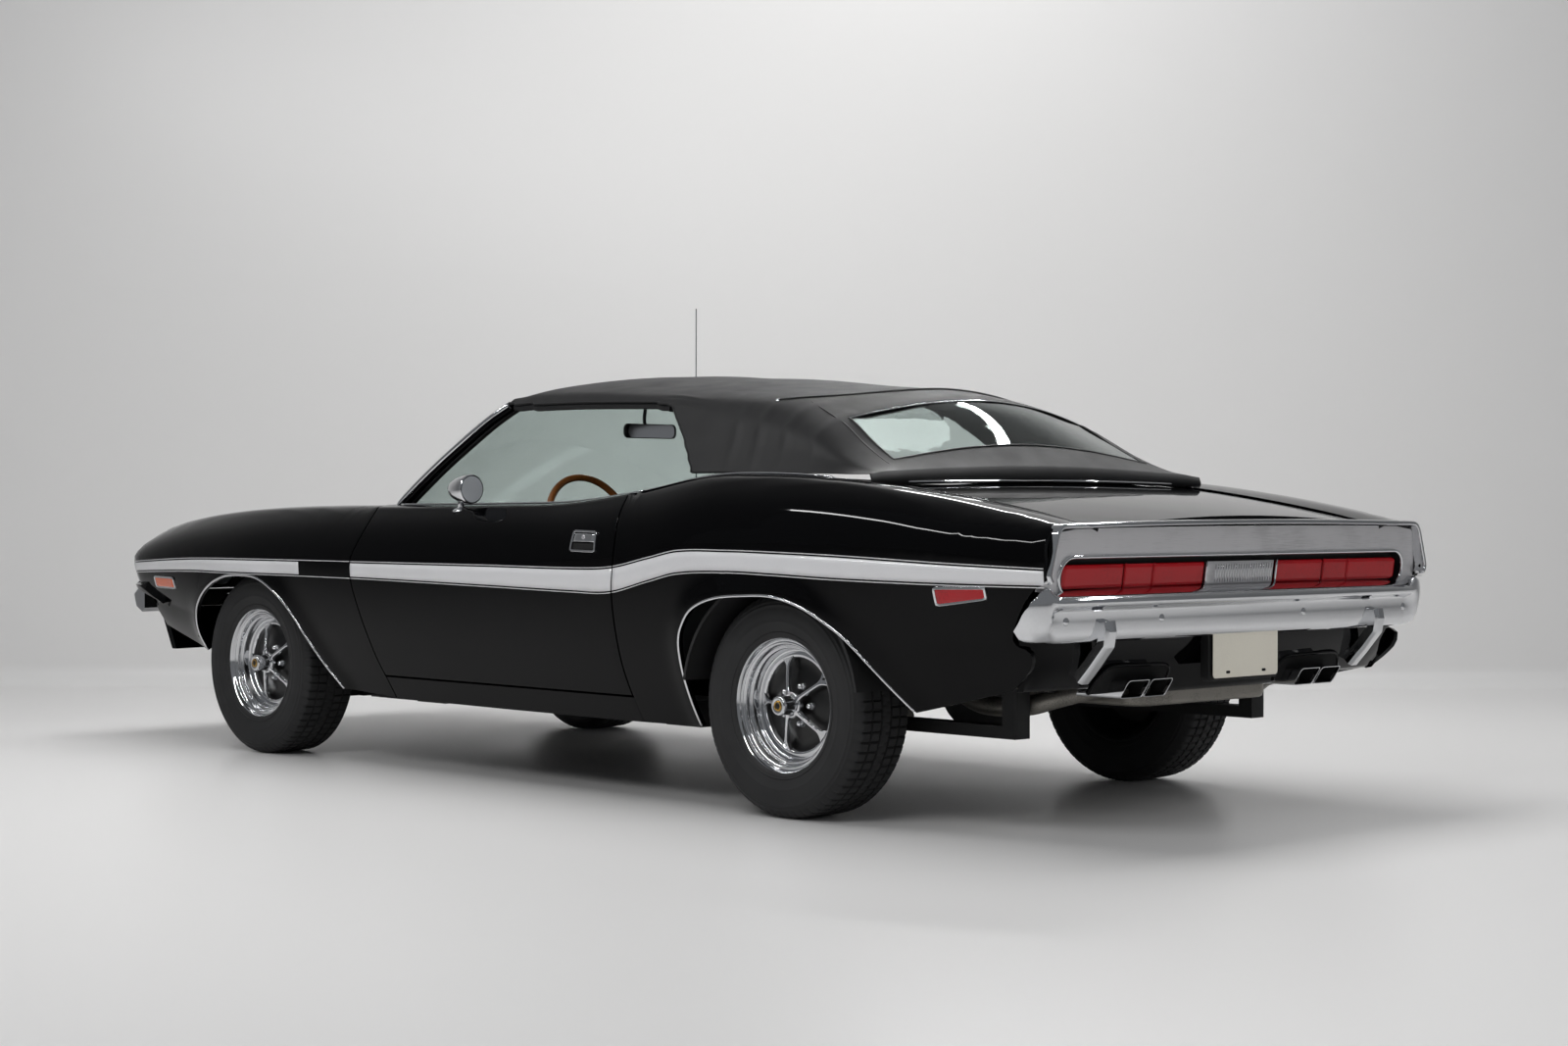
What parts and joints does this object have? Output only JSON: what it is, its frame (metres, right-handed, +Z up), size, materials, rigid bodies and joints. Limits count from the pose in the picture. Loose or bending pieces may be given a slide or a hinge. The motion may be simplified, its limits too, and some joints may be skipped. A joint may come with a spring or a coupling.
{
  "type": "muscle car convertible",
  "caption": "Long-hood two-door muscle car convertible with its black soft top raised, spoked chrome wheels, full-width tail lamps and a chrome bumper with upright guards.",
  "frame": {"origin": "on the ground under the middle of the box around the whole car", "axes": "+X forward to the front bumper, +Y to the left side, +Z up"},
  "size_m": [4.859, 1.9338, 1.683],
  "materials": {
    "body_paint": "gloss black enamel",
    "chrome": "polished chrome plate",
    "tail_silver": "satin silver",
    "red_lens": "moulded red lens",
    "marker_lens": "moulded lens",
    "head_glass": "clear lamp glass",
    "window_glass": "tinted glass",
    "grille_black": "matt black",
    "black_metal": "satin black",
    "top_vinyl": "grained black vinyl cloth",
    "seat_vinyl": "black vinyl",
    "dash_plastic": "grained black",
    "rim_wood": "varnished wood grain",
    "plate_white": "pressed plate, blank",
    "tyre_rubber": "black rubber",
    "wheel_chrome": "chrome rim and spokes",
    "cast_iron": "raw casting",
    "steel": "weathered steel"
  },
  "bodies": {
    "car": {"front_fender_left": "body_paint", "front_fender_right": "body_paint", "quarter_panel_left": "body_paint", "quarter_panel_right": "body_paint", "cowl_panel": "body_paint", "rear_deck_panel": "body_paint", "tail_panel": "tail_silver", "tail_lamps": "red_lens", "rear_bumper": "chrome", "rear_valance": "body_paint", "licence_plate": "plate_white", "front_bumper": "chrome", "grille": "grille_black", "headlamps": "head_glass", "front_valance": "body_paint", "nose_panel": "body_paint", "windshield_frame": "body_paint", "windshield_glass": "window_glass", "soft_top": "top_vinyl", "backlight_glass": "window_glass", "dashboard": "dash_plastic", "front_seats": "seat_vinyl", "rear_seat": "seat_vinyl", "underbody": "black_metal", "engine": "cast_iron", "front_suspension": "black_metal", "upper_arms": "black_metal", "rear_axle": "black_metal", "leaf_springs": "black_metal", "front_pipes": "steel", "exhaust_tips": "chrome", "fuel_tank": "steel", "side_markers": "marker_lens", "aerial": "chrome"},
    "door_left": {"door_left": "body_paint", "door_handle_left": "chrome", "door_mirror": "chrome"},
    "door_right": {"door_right": "body_paint", "door_handle_right": "chrome"},
    "hood": {"hood": "body_paint"},
    "deck_lid": {"deck_lid": "body_paint"},
    "knuckle_left": {"knuckle_left": "cast_iron"},
    "knuckle_right": {"knuckle_right": "cast_iron"},
    "steering_wheel": {"steering_wheel": "rim_wood"},
    "wheel_front_left": {"tyre_front_left": "tyre_rubber", "rim_front_left": "wheel_chrome"},
    "wheel_front_right": {"tyre_front_right": "tyre_rubber", "rim_front_right": "wheel_chrome"},
    "wheel_rear_left": {"tyre_rear_left": "tyre_rubber", "rim_rear_left": "wheel_chrome"},
    "wheel_rear_right": {"tyre_rear_right": "tyre_rubber", "rim_rear_right": "wheel_chrome"}
  },
  "joints": [
    {"name": "door_left_hinge", "type": "hinge", "parent": "car", "child": "door_left", "pos_m": [0.706, 0.951, 0.62], "axis": [0, 0, -1], "range_deg": [0, 65]},
    {"name": "door_right_hinge", "type": "hinge", "parent": "car", "child": "door_right", "pos_m": [0.706, -0.951, 0.62], "axis": [0, 0, 1], "range_deg": [0, 65]},
    {"name": "hood_hinge", "type": "hinge", "parent": "car", "child": "hood", "pos_m": [0.888, 0, 0.91], "axis": [0, -1, 0], "range_deg": [0, 50]},
    {"name": "deck_lid_hinge", "type": "hinge", "parent": "car", "child": "deck_lid", "pos_m": [-1.742, 0, 0.973], "axis": [0, 1, 0], "range_deg": [0, 60]},
    {"name": "steer_left", "type": "hinge", "parent": "car", "child": "knuckle_left", "pos_m": [1.4265, 0.668, 0.3315], "axis": [0, 0, 1], "range_deg": [-30, 30]},
    {"name": "steer_right", "type": "hinge", "parent": "car", "child": "knuckle_right", "pos_m": [1.4265, -0.668, 0.3315], "axis": [0, 0, 1], "range_deg": [-30, 30]},
    {"name": "steering_wheel_turn", "type": "hinge", "parent": "car", "child": "steering_wheel", "pos_m": [0.09961, 0.375, 0.84226], "axis": [-0.9397, 0, 0.342], "range_deg": [-480, 480]},
    {"name": "wheel_front_left_spin", "type": "hinge", "parent": "knuckle_left", "child": "wheel_front_left", "pos_m": [1.4265, 0.758, 0.3315], "axis": [0, 1, 0], "continuous": true},
    {"name": "wheel_front_right_spin", "type": "hinge", "parent": "knuckle_right", "child": "wheel_front_right", "pos_m": [1.4265, -0.758, 0.3315], "axis": [0, 1, 0], "continuous": true},
    {"name": "wheel_rear_left_spin", "type": "hinge", "parent": "car", "child": "wheel_rear_left", "pos_m": [-1.3675, 0.771, 0.3315], "axis": [0, 1, 0], "continuous": true},
    {"name": "wheel_rear_right_spin", "type": "hinge", "parent": "car", "child": "wheel_rear_right", "pos_m": [-1.3675, -0.771, 0.3315], "axis": [0, 1, 0], "continuous": true}
  ],
  "couplings": [
    {"joint": "steer_right", "follows": "steer_left", "ratio": 1},
    {"joint": "steering_wheel_turn", "follows": "steer_left", "ratio": 16}
  ]
}
